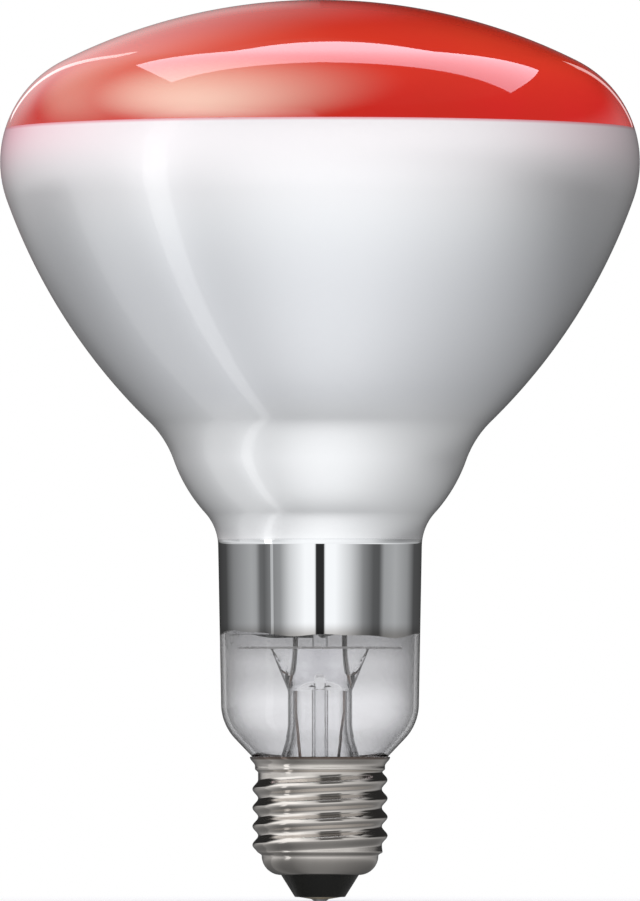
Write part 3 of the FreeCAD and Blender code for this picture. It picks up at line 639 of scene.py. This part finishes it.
def thread_on(radius, height, angle):
    """Adds the rolled thread to the shell's wall."""
    turn = angle / (2 * math.pi)
    phase = (height - CREST_AT_RIGHT) / THREAD_PITCH - turn
    at = round(phase) + turn
    size = ease(at, *THREAD_IN) * (1 - ease(at, *THREAD_OUT))
    crest = 0.5 + 0.5 * math.cos(2 * math.pi * (phase - round(phase)))
    wall = ease(radius, SHELL_ROOT - PLAIN_UNDER, SHELL_ROOT - FULL_UNDER)
    low = ease(height, THREAD_FADE_FOOT, WALL_FOOT)
    high = 1 - ease(height, THREAD_FADE_TOP, COLLAR_TOP)
    return radius + THREAD_DEPTH * crest * size * wall * low * high, height


def eased_run(start, end, steps, first=1):
    """Points down a wall whose radius eases from the start's to the end's."""
    run = []
    for step in range(first, steps + 1):
        share = step / steps
        radius = start[0] + (end[0] - start[0]) * ease(share, 0.0, 1.0)
        run.append((radius, start[1] + (end[1] - start[1]) * share))
    return run


def nose_spot(bend, angle):
    """A point on the rounded nose, from its side at nought to its foot at a quarter turn."""
    return NOSE_RADIUS - NOSE_BEND + bend * math.cos(angle), SHELL_FOOT + NOSE_BEND - bend * math.sin(angle)


def shell_line():
    """The shell's section, down its outside from the rim to the hole and up its inside."""
    flare_top = (RIM_RADIUS, CAP_HEIGHT - RIM_DROP)
    flare_foot = (COLLAR_RADIUS, CAP_HEIGHT - RIM_DROP - FLARE_HEIGHT)
    line = [(RIM_RADIUS - SHELL_SHEET, CAP_HEIGHT), (RIM_RADIUS - RIM_LIP, CAP_HEIGHT)]
    line += eased_run(flare_top, flare_foot, FLARE_STEPS, first=0)
    for height in (COLLAR_TOP, (COLLAR_TOP + COLLAR_FOOT) / 2, COLLAR_FOOT):
        line.append((COLLAR_RADIUS, height))
    line += eased_run((COLLAR_RADIUS, COLLAR_FOOT), (SHELL_ROOT, WALL_TOP), BEND_STEPS)
    for step in range(1, WALL_ROWS + 1):
        line.append((SHELL_ROOT, WALL_TOP - (WALL_TOP - WALL_FOOT) * step / WALL_ROWS))
    line += eased_run((SHELL_ROOT, WALL_FOOT), (NOSE_RADIUS, SHELL_FOOT + NOSE_BEND), BEND_STEPS)
    for step in range(1, NOSE_STEPS + 1):
        line.append(nose_spot(NOSE_BEND, math.pi / 2 * step / NOSE_STEPS))
    line += [(HOLE_RADIUS + HOLE_LIP, SHELL_FOOT), (HOLE_RADIUS, SHELL_FOOT)]
    line.append((HOLE_RADIUS, SHELL_FOOT + SHELL_SHEET))
    for step in range(INNER_NOSE_STEPS + 1):
        line.append(nose_spot(NOSE_BEND - SHELL_SHEET, math.pi / 2 * (1 - step / INNER_NOSE_STEPS)))
    line += [(SHELL_BORE, WALL_FOOT), (SHELL_BORE, WALL_TOP)]
    line += [(COLLAR_RADIUS - SHELL_SHEET, height) for height in INNER_COLLAR]
    line.append((RIM_RADIUS - SHELL_SHEET, CAP_HEIGHT))
    return line


shell = turned("screw_shell_rolled", shell_line(), SHELL_TURNS, thread_on)
# Painted shadow: the top half millimetre of the rim is darkened for the shadow line between the glass and
# the rim.
RIM_PAINTED_SHADOW = (0.13, 0.10, 0.085)
RIM_SHADOW_ENDS = (0.0274, 0.0279)
plating, tree, shader = new_finish("nickel_plating", {"Metallic": 1.0})
film = add_effect(tree, patchy_film, {"Patch Scale": 160.0, "Grain Scale": 2200.0})
lines = add_effect(tree, drawn_lines, {"Along": 5200.0, "Across": 90.0})
plain = two_tone(tree, film.outputs["Patches"], (0.66, 0.63, 0.60), (0.58, 0.55, 0.52))
rolled = two_tone(tree, lines.outputs["Lines"], plain, (0.62, 0.59, 0.56))
rim_shadow = spread(tree, height_on_axis(tree), 0.0, 1.0, *RIM_SHADOW_ENDS)
tree.links.new(two_tone(tree, rim_shadow, rolled, RIM_PAINTED_SHADOW), shader.inputs["Base Color"])
tree.links.new(spread(tree, film.outputs["Patches"], 0.09, 0.14), shader.inputs["Roughness"])
add_bump(tree, shader, lines.outputs["Lines"], 0.06, 0.00004)
shell.data.materials.append(plating)
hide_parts("screw_shell")

# Insulator: black glass poured into the foot of the shell while hot, so it grips the edge of the hole.
# Its lower face is left as it set, glossy with faint pulls.
black_glass, tree, shader = new_finish("black_glass", {
    "Specular IOR Level": 0.1, "Coat Weight": 0.8, "Coat Roughness": 0.04})
film = add_effect(tree, patchy_film, {"Patch Scale": 260.0, "Grain Scale": 1500.0})
poured = two_tone(tree, film.outputs["Patches"], (0.005, 0.005, 0.004), (0.009, 0.009, 0.007))
tree.links.new(poured, shader.inputs["Base Color"])
tree.links.new(spread(tree, film.outputs["Grain"], 0.12, 0.26), shader.inputs["Roughness"])
add_bump(tree, shader, film.outputs["Patches"], 0.1, 0.0002)
dress(["cap_insulator"], black_glass)

# Centre contact: a small pressed brass plate with an eyelet, closed by a drop of solder over the lead's end.
# The solder's flat is the lowest point of the lamp.
dress(["contact_plate"],
      drawn_metal_finish("contact_brass", (0.72, 0.58, 0.34), (0.58, 0.45, 0.25),
                         smooth=0.22, rough=0.38, along=700.0, across=700.0))
dress(["contact_solder"],
      drawn_metal_finish("solder", (0.62, 0.62, 0.63), (0.48, 0.48, 0.5),
                         smooth=0.3, rough=0.5, along=900.0, across=900.0))

# Capping cement: a ring of baked phenolic cement between the glass tail and the shell.
# It is matt and grainy, and open at the back where the side lead rises.
cement, tree, shader = new_finish("baked_cement", {})
film = add_effect(tree, patchy_film, {"Patch Scale": 300.0, "Grain Scale": 2500.0})
baked = two_tone(tree, film.outputs["Patches"], (0.56, 0.47, 0.34), (0.44, 0.36, 0.25))
tree.links.new(baked, shader.inputs["Base Color"])
tree.links.new(spread(tree, film.outputs["Grain"], 0.75, 0.95), shader.inputs["Roughness"])
add_bump(tree, shader, film.outputs["Grain"], 0.5, 0.0002)
dress(["capping_cement"], cement)

# Stage: a pale floor under the contact and a white surround. The floor keeps the lamp's shadow near it
# and turns white to the eye further off; in gloss it glows with painted light instead, a pool brightest at
# the front, with a painted streak and a painted shadow round the contact.
NEAR_FLOOR = [(-180, 0.05), (-155, 0.16), (-138, 0.31), (-120, 0.43), (-104, 0.51), (-102, 0.78),
              (-90, 0.74), (-80, 0.66), (-70, 0.58), (-48, 0.61), (-36, 0.79), (-18, 0.98), (0, 1.05),
              (20, 1.01), (40, 0.87), (60, 0.73), (80, 0.61), (105, 0.48), (125, 0.39), (142, 0.32),
              (158, 0.16), (180, 0.05)]
FAR_FLOOR = [(-180, 0.05), (-155, 0.14), (-138, 0.33), (-120, 0.38), (-104, 0.42), (-102, 0.74),
             (-90, 0.78), (-80, 0.78), (-70, 0.74), (-48, 0.78), (-36, 0.97), (-18, 1.14), (0, 1.16),
             (20, 1.12), (40, 0.97), (60, 0.80), (80, 0.42), (105, 0.22), (125, 0.22), (142, 0.20),
             (158, 0.12), (180, 0.05)]
FLOOR_END = [(-180, 0.05), (-155, 0.25), (-138, 0.58), (-120, 0.74), (-100, 0.88), (-80, 0.94),
             (-48, 0.94), (-20, 1.12), (0, 1.12), (20, 1.05), (40, 0.92), (60, 0.78), (80, 0.55),
             (105, 0.38), (125, 0.30), (142, 0.24), (158, 0.14), (180, 0.05)]
FLOOR_HALF = 6
FLOOR_CORNERS = [(-FLOOR_HALF, -FLOOR_HALF, 0), (FLOOR_HALF, -FLOOR_HALF, 0),
                 (FLOOR_HALF, FLOOR_HALF, 0), (-FLOOR_HALF, FLOOR_HALF, 0)]
STREAK_BEARING = -1.05
STREAK_HALF_WIDTH = 0.085
floor_mesh = bpy.data.meshes.new("floor")
floor_mesh.from_pydata(FLOOR_CORNERS, [], [(0, 1, 2, 3)])
floor = bpy.data.objects.new("floor", floor_mesh)
bpy.context.scene.collection.objects.link(floor)


def operate(tree, operation, first, second=None, third=None):
    """One arithmetic step on values or sockets."""
    math_node = tree.nodes.new("ShaderNodeMath")
    math_node.operation = operation
    for socket, value in zip(math_node.inputs, (first, second, third)):
        if isinstance(value, (int, float)):
            socket.default_value = value
        elif value is not None:
            tree.links.new(value, socket)
    return math_node.outputs["Value"]


def steer(tree, first, other, chooser):
    """Shows one shader or the other, as the chooser says."""
    either = tree.nodes.new("ShaderNodeMixShader")
    tree.links.new(chooser, either.inputs["Fac"])
    tree.links.new(first, either.inputs[1])
    tree.links.new(other, either.inputs[2])
    return either.outputs["Shader"]


def shine(tree, strength, colour=(1.0, 1.0, 1.0)):
    """A glow; its strength and its colour may be plain values or sockets."""
    glow = tree.nodes.new("ShaderNodeEmission")
    if isinstance(colour, tuple):
        glow.inputs["Color"].default_value = (*colour, 1.0)
    else:
        tree.links.new(colour, glow.inputs["Color"])
    if isinstance(strength, (int, float)):
        glow.inputs["Strength"].default_value = strength
    else:
        tree.links.new(strength, glow.inputs["Strength"])
    return glow.outputs["Emission"]


def spot_on_stage(tree):
    """Bearing round the lamp in radians from the front, minus to the left, then height and distance."""
    place = tree.nodes.new("ShaderNodeTexCoord")
    split = tree.nodes.new("ShaderNodeSeparateXYZ")
    reach = tree.nodes.new("ShaderNodeVectorMath")
    reach.operation = "LENGTH"
    tree.links.new(place.outputs["Object"], split.inputs["Vector"])
    tree.links.new(place.outputs["Object"], reach.inputs[0])
    ahead = operate(tree, "MULTIPLY", split.outputs["Y"], -1.0)
    return operate(tree, "ARCTAN2", split.outputs["X"], ahead), split.outputs["Z"], reach.outputs["Value"]


def by_bearing(tree, bearing, levels):
    """Brightness from a table of bearings in degrees from the front, minus to the left, and light levels.

    The levels were set by comparing the brightness of the lamp's reflections with the photo's.
    """
    table = tree.nodes.new("ShaderNodeValToRGB")
    first, last = levels[0][0], levels[-1][0]
    span = math.radians(last - first)
    share = operate(tree, "MULTIPLY_ADD", bearing, 1 / span, -math.radians(first) / span)
    tree.links.new(share, table.inputs["Fac"])
    for degrees, _ in levels[1:-1]:
        table.color_ramp.elements.new((degrees - first) / (last - first))
    for element, (degrees, level) in zip(table.color_ramp.elements, levels):
        element.position = (degrees - first) / (last - first)
        element.color = (level, level, level, 1.0)
    return table.outputs["Color"]


paper, tree, shader = new_finish("pale_floor", {"Base Color": (0.72, 0.72, 0.73, 1.0), "Roughness": 0.9})
out = next(node for node in tree.nodes if node.type == "OUTPUT_MATERIAL")
path = tree.nodes.new("ShaderNodeLightPath")
bearing, _, far = spot_on_stage(tree)
looked_at = operate(tree, "MAXIMUM", path.outputs["Is Camera Ray"], path.outputs["Is Transmission Ray"])
whiten = operate(tree, "MULTIPLY", looked_at, spread(tree, far, 0.62, 1.0, 0.02, 0.16))
eye = steer(tree, shader.outputs["BSDF"], shine(tree, 1.0), whiten)
# Painted light for gloss: a streak and a pool of light by bearing, dimmed by a painted shadow round the
# contact.
streak = operate(tree, "COMPARE", bearing, STREAK_BEARING, STREAK_HALF_WIDTH)
streak = operate(tree, "MULTIPLY", streak, spread(tree, far, 0.0, 0.85, 0.026, 0.04))
near_pool = by_bearing(tree, bearing, NEAR_FLOOR)
far_pool = by_bearing(tree, bearing, FAR_FLOOR)
pool = two_tone(tree, spread(tree, far, 0.0, 1.0, 0.12, 0.40), near_pool, far_pool)
pool = two_tone(tree, spread(tree, far, 0.0, 1.0, 0.38, 1.05), pool, by_bearing(tree, bearing, FLOOR_END))
contact_shade = spread(tree, far, 0.25, 1.0, 0.005, 0.07)
pool = operate(tree, "MULTIPLY", operate(tree, "ADD", streak, pool), contact_shade)
gloss = operate(tree, "SUBTRACT", path.outputs["Is Glossy Ray"], path.outputs["Is Transmission Ray"])
under = tree.nodes.new("ShaderNodeNewGeometry").outputs["Backfacing"]
table = steer(tree, eye, shine(tree, pool), gloss)
clear = tree.nodes.new("ShaderNodeBsdfTransparent").outputs["BSDF"]
tree.links.new(steer(tree, table, clear, under), out.inputs["Surface"])
floor.data.materials.append(paper)

world = bpy.data.worlds.new("white_studio")
bpy.context.scene.world = world
world.use_nodes = True
tree = world.node_tree
back = next(node for node in tree.nodes if node.type == "BACKGROUND")
path = tree.nodes.new("ShaderNodeLightPath")
fill = two_tone(tree, path.outputs["Is Glossy Ray"], (1.0, 1.0, 1.02), (0.06, 0.055, 0.05))
seen = operate(tree, "MAXIMUM", path.outputs["Is Camera Ray"], path.outputs["Is Transmission Ray"])
tree.links.new(two_tone(tree, seen, fill, (1.0, 1.0, 1.0)), back.inputs["Color"])

# Light tent: a round wall of cloth, turned on the glass alone. Sharp gloss shows its low band, with a
# slit for the camera and dark gaps, its high screens and two thin strips behind. Soft gloss shows even
# screens instead, rosy at the sides, with one bright streak.
TENT_RADIUS = 1.2
TENT_HEIGHT = 1.4
TENT_TURNS = 96
LOW_SCREENS = [(-180, 0.02), (-134, 0.07), (-115, 0.25), (-84, 0.43), (-78, 0.40), (-72, 0.16),
               (-66, 0.13), (-54, 0.28), (-46, 0.34), (-34, 0.74), (-17, 1.12), (-5.8, 1.13),
               (-4.4, 0.03), (4.4, 0.03), (5.8, 1.13), (17, 1.12), (34, 0.73), (50, 0.27), (63, 0.11),
               (71, 0.10), (78, 0.38), (95, 0.45), (117, 0.31), (134, 0.08), (180, 0.04)]
HIGH_SCREENS = [(-180, 0.06), (-179, 0.20), (-177, 0.32), (-158, 0.20), (-140, 0.32), (-118, 0.64),
                (-95, 0.70), (-78, 0.76), (-57, 0.82), (-27, 0.88), (-4, 1.00), (4, 1.06), (27, 1.16),
                (56, 1.16), (80, 0.92), (92, 0.76), (120, 0.46), (145, 0.36), (160, 0.12), (180, 0.06)]
SOFT_SCREENS = [(-180, 0.14), (-149, 0.78), (-128, 1.02), (-92, 1.12), (-70, 1.07), (0, 1.16),
                (30, 1.14), (57, 1.02), (92, 0.76), (128, 0.47), (180, 0.06)]
ROSY_SIDES = [(-180, 1.0), (-149, 1.0), (-128, 0.5), (-92, 0.2), (-60, 0.0), (65, 0.0), (113, 0.3),
              (180, 0.25)]
ROSY_CLOTH = (1.0, 0.5, 0.6)
SCREEN_TOPS = [(-180, 0.62), (-140, 0.55), (-95, 0.62), (-75, 0.80), (-60, 1.20), (-4, 1.25), (3, 0.76),
               (40, 0.74), (60, 0.66), (95, 0.60), (140, 0.50), (180, 0.40)]
EDGE_STRIPS = [(-164, 1.4, 0.30, 0.92), (165, 0.9, 0.27, 0.60)]
STRIP_HALF_WIDTH = 0.032
SIDE_STRIP_BEARING = -0.98
SIDE_STRIP_HALF_WIDTH = 0.03
SIDE_STRIP_LEVEL = 0.3
STREAK_LIGHT = (1.9, 1.9, 1.9)


def wall(radius, top):
    """Points and faces of a round wall that stands on the floor."""
    points, faces = [], []
    for step in range(TENT_TURNS):
        angle = 2 * math.pi * step / TENT_TURNS
        for level in (0.0, top):
            points.append((radius * math.cos(angle), radius * math.sin(angle), level))
        after = 2 * ((step + 1) % TENT_TURNS)
        faces.append((2 * step, 2 * step + 1, after + 1, after))
    return points, faces


def light_card(name, points, faces, lit):
    """A sheet that lights the pieces listed or shows in their gloss, and is never seen by itself."""
    mesh = bpy.data.meshes.new(name)
    mesh.from_pydata(points, [], faces)
    sheet = bpy.data.objects.new(name, mesh)
    bpy.context.scene.collection.objects.link(sheet)
    sheet.visible_camera = False
    sheet.visible_transmission = False
    sheet.visible_shadow = False
    receivers = bpy.data.collections.new(name + "_lights")
    for piece in lit:
        receivers.objects.link(piece)
    sheet.light_linking.receiver_collection = receivers
    material, tree, shader = new_finish(name + "_cloth", {})
    tree.nodes.remove(shader)
    mesh.materials.append(material)
    return sheet, tree, next(node for node in tree.nodes if node.type == "OUTPUT_MATERIAL").inputs["Surface"]


def low_band(tree, bearing, height):
    """One in the low band of the cloth that the bright neck shows, rising and narrowing towards the back."""
    turn = operate(tree, "DIVIDE", operate(tree, "ABSOLUTE", bearing), math.pi)
    middle = operate(tree, "MULTIPLY_ADD", operate(tree, "POWER", turn, 1.5), 0.045, 0.03)
    away = operate(tree, "ABSOLUTE", operate(tree, "SUBTRACT", height, middle))
    away = operate(tree, "MULTIPLY", away, operate(tree, "ADD", turn, 1.0))
    return spread(tree, away, 1.0, 0.0, 0.024, 0.036)


def see_through(tree, glow, surface):
    """A sheet that adds its glow to what lies behind it."""
    both = tree.nodes.new("ShaderNodeAddShader")
    tree.links.new(glow, both.inputs[0])
    tree.links.new(tree.nodes.new("ShaderNodeBsdfTransparent").outputs["BSDF"], both.inputs[1])
    tree.links.new(both.outputs["Shader"], surface)


tent, tree, surface = light_card("light_tent", *wall(TENT_RADIUS, TENT_HEIGHT), [bulb])
tent.visible_diffuse = False
bearing, height, _ = spot_on_stage(tree)
low = by_bearing(tree, bearing, LOW_SCREENS)
side_strip = operate(tree, "COMPARE", bearing, SIDE_STRIP_BEARING, SIDE_STRIP_HALF_WIDTH)
low = operate(tree, "MULTIPLY_ADD", side_strip, SIDE_STRIP_LEVEL, low)
over = operate(tree, "SUBTRACT", height, by_bearing(tree, bearing, SCREEN_TOPS))
under_top = spread(tree, over, 1.0, 0.0, -0.12, 0.12)
high = operate(tree, "MULTIPLY", by_bearing(tree, bearing, HIGH_SCREENS), under_top)
cloth = two_tone(tree, low_band(tree, bearing, height), high, low)
for degrees, level, bottom, top in EDGE_STRIPS:
    strip = operate(tree, "COMPARE", bearing, math.radians(degrees), STRIP_HALF_WIDTH)
    reach = operate(tree, "COMPARE", height, (bottom + top) / 2, (top - bottom) / 2)
    strip = operate(tree, "MULTIPLY", strip, reach)
    cloth = operate(tree, "MULTIPLY_ADD", strip, level, cloth)
rise = spread(tree, height, 0.0, 1.0, 0.0, 0.4)
soft = two_tone(tree, rise, by_bearing(tree, bearing, FLOOR_END), by_bearing(tree, bearing, SOFT_SCREENS))
streak = operate(tree, "COMPARE", bearing, STREAK_BEARING, STREAK_HALF_WIDTH)
streak = operate(tree, "MULTIPLY", streak, spread(tree, height, 0.6, 0.3, 0.0, 0.9))
soft = two_tone(tree, streak, soft, STREAK_LIGHT)
sharp = tree.nodes.new("ShaderNodeLightPath").outputs["Is Singular Ray"]
rosy = operate(tree, "MULTIPLY", by_bearing(tree, bearing, ROSY_SIDES), rise)
rosy = operate(tree, "MULTIPLY", rosy, operate(tree, "SUBTRACT", 1.0, sharp))
tint = two_tone(tree, rosy, (1.0, 1.0, 1.0), ROSY_CLOTH)
tree.links.new(shine(tree, two_tone(tree, sharp, soft, cloth), tint), surface)

# Cap screens: taller cloths turned on the cap alone, bright at the front left, with a dark gap right of the
# camera and dark sides. They draw the light and dark patches along the thread.
CAP_SCREEN_RADIUS = 1.15
CAP_SCREEN_TOP = 6.0
CAP_LOW = [(-180, 0.03), (-150, 0.10), (-135, 0.55), (-118, 0.80), (-90, 0.75), (-68, 0.80), (-34, 1.00),
           (-17, 1.00), (-4, 0.75), (20, 0.70), (54, 0.78), (75, 0.60), (97, 0.42), (115, 0.26),
           (134, 0.06), (180, 0.03)]
CAP_HIGH = [(-180, 0.03), (-112, 0.03), (-104, 0.60), (-96, 1.45), (-40, 1.50), (-27, 1.15), (-14, 1.05),
            (-4, 0.75), (0, 0.16), (38, 0.16), (42, 0.80), (76, 0.70), (88, 0.35), (95, 0.03),
            (180, 0.03)]
CAP_TOP = [(-180, 0.03), (-126, 0.03), (-116, 0.60), (-108, 1.45), (-66, 1.50), (-48, 1.15), (-16, 0.90),
           (-8, 0.12), (74, 0.16), (80, 0.80), (112, 0.70), (126, 0.05), (180, 0.03)]
cap_pieces = [shell, nodes["cap_insulator"], nodes["contact_plate"], nodes["contact_solder"]]
screens, tree, surface = light_card("cap_screens", *wall(CAP_SCREEN_RADIUS, CAP_SCREEN_TOP), cap_pieces)
screens.visible_diffuse = False
bearing, height, _ = spot_on_stage(tree)
rise = spread(tree, height, 0.0, 1.0, 0.12, 0.24)
cloth = two_tone(tree, rise, by_bearing(tree, bearing, CAP_LOW), by_bearing(tree, bearing, CAP_HIGH))
cloth = two_tone(tree, spread(tree, height, 0.0, 1.0, 0.6, 1.6), cloth, by_bearing(tree, bearing, CAP_TOP))
see_through(tree, shine(tree, cloth), surface)

# Overhead softbox: a wide, cool sheet above and behind the lamp; it draws the pale band across the red face.
# Its corners lie where the band's corners are seen.
SOFTBOX_HEIGHT = 0.86
SOFTBOX_CORNERS = [(-0.39, 0.53), (-0.46, 0.03), (0.0, 0.14), (0.71, 0.10), (0.50, 0.72), (0.0, 0.61)]
SOFTBOX_FACES = [(0, 1, 2, 5), (2, 3, 4, 5)]
SOFTBOX_LEVEL = 4.2
SOFTBOX_COLOUR = (0.86, 0.86, 1.0)
softbox_points = [(across, along, SOFTBOX_HEIGHT) for across, along in SOFTBOX_CORNERS]
_, tree, surface = light_card("overhead_softbox", softbox_points, SOFTBOX_FACES, [bulb, floor])
tree.links.new(shine(tree, SOFTBOX_LEVEL, SOFTBOX_COLOUR), surface)

# Bounce discs: three round silks on the left, each brightest in its middle and turned on the glass alone.
# They show only in sharp gloss, as the soft pale bloom over the left of the red face.
PALE_GREEN = (0.62, 1.08, 0.88)
PALE_GREY = (0.80, 0.86, 0.88)
DISCS = [("front_disc", (-0.41, -0.30, 0.67), 0.66, 11.6, PALE_GREEN, (0, 0, -1)),
         ("side_disc", (-0.54, 0.18, 0.49), 0.60, 2.4, PALE_GREEN, (0, 0, -1)),
         ("back_disc", (-0.26, 0.61, 0.46), 0.38, 1.15, PALE_GREY, (0.34, -0.83, -0.40))]
DISC_TURNS = 48
for name, centre, radius, level, colour, facing in DISCS:
    points = [(0, 0, 0)]
    faces = []
    for step in range(DISC_TURNS):
        angle = 2 * math.pi * step / DISC_TURNS
        points.append((radius * math.cos(angle), radius * math.sin(angle), 0))
        faces.append((0, step + 1, (step + 1) % DISC_TURNS + 1))
    disc, tree, surface = light_card(name, points, faces, [bulb])
    disc.location = centre
    disc.rotation_euler = Vector(facing).to_track_quat("-Z", "Y").to_euler()
    disc.visible_diffuse = False
    _, _, far = spot_on_stage(tree)
    sharp = tree.nodes.new("ShaderNodeLightPath").outputs["Is Singular Ray"]
    bloom = operate(tree, "MULTIPLY", spread(tree, far, level, 0.0, 0.0, radius), sharp)
    see_through(tree, shine(tree, bloom, colour), surface)

# Camera: a long lens level with the cap, looking slightly up, as the photo was taken.
# It stands far off, so the lamp is seen with little perspective.
SENSOR_WIDTH = 36.0
LENS = 921.6
CAMERA_SPOT = Vector((0, -3.2, 0.028))
CAMERA_AIM = Vector((0, 0, 0.088))
camera_data = bpy.data.cameras.new("camera")
camera_data.sensor_fit = "HORIZONTAL"
camera_data.sensor_width = SENSOR_WIDTH
camera_data.lens = LENS
camera = bpy.data.objects.new("camera", camera_data)
camera.location = CAMERA_SPOT
camera.rotation_euler = (CAMERA_AIM - CAMERA_SPOT).to_track_quat("-Z", "Y").to_euler()
bpy.context.scene.collection.objects.link(camera)
bpy.context.scene.camera = camera
bpy.context.scene.view_settings.view_transform = "Standard"
